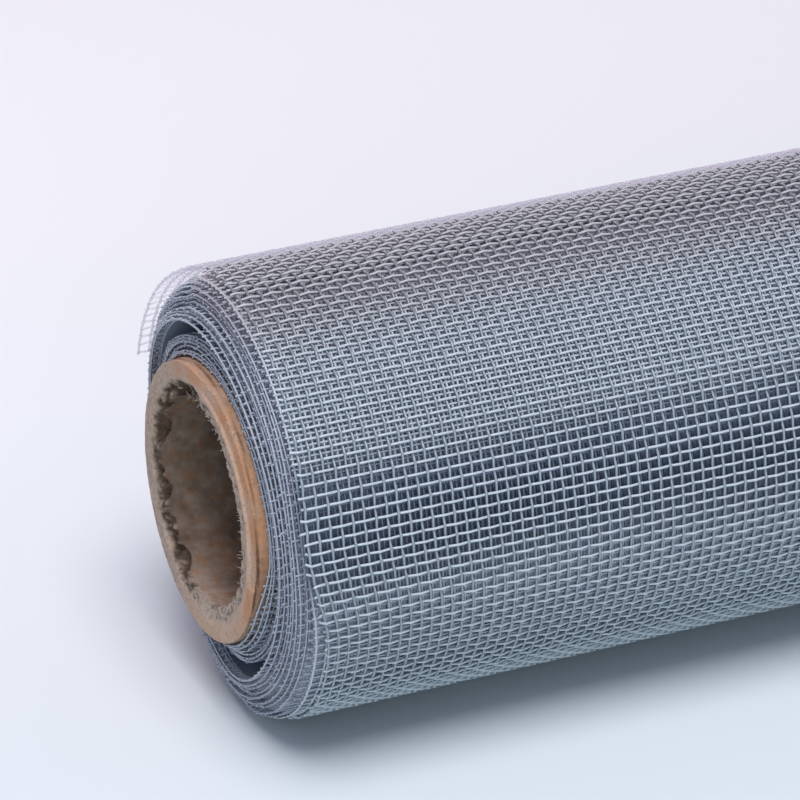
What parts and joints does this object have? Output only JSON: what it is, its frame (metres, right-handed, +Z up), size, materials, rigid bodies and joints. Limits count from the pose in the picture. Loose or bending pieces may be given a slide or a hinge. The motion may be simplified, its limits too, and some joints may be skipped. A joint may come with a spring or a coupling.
{
  "type": "roll of fiberglass insect screen",
  "caption": "Roll of grey fiberglass insect screen wound on a cardboard tube, its loose end hanging off the back, lying on its side.",
  "frame": {"origin": "on the surface the roll lies on, under the middle of its bounding box", "axes": "+X along the roll from the end in the picture to the far end, +Y towards the back where the loose end hangs, +Z up"},
  "size_m": [0.6156, 0.0616, 0.0591],
  "materials": {
    "tube_board": "brown spiral-wound paper board with a grey fibrous saw cut",
    "net_cloth": "woven glass yarn in grey vinyl, satin"
  },
  "bodies": {
    "root": {"core": "tube_board", "screen_roll": "net_cloth", "loose_end": "net_cloth"}
  },
  "joints": []
}
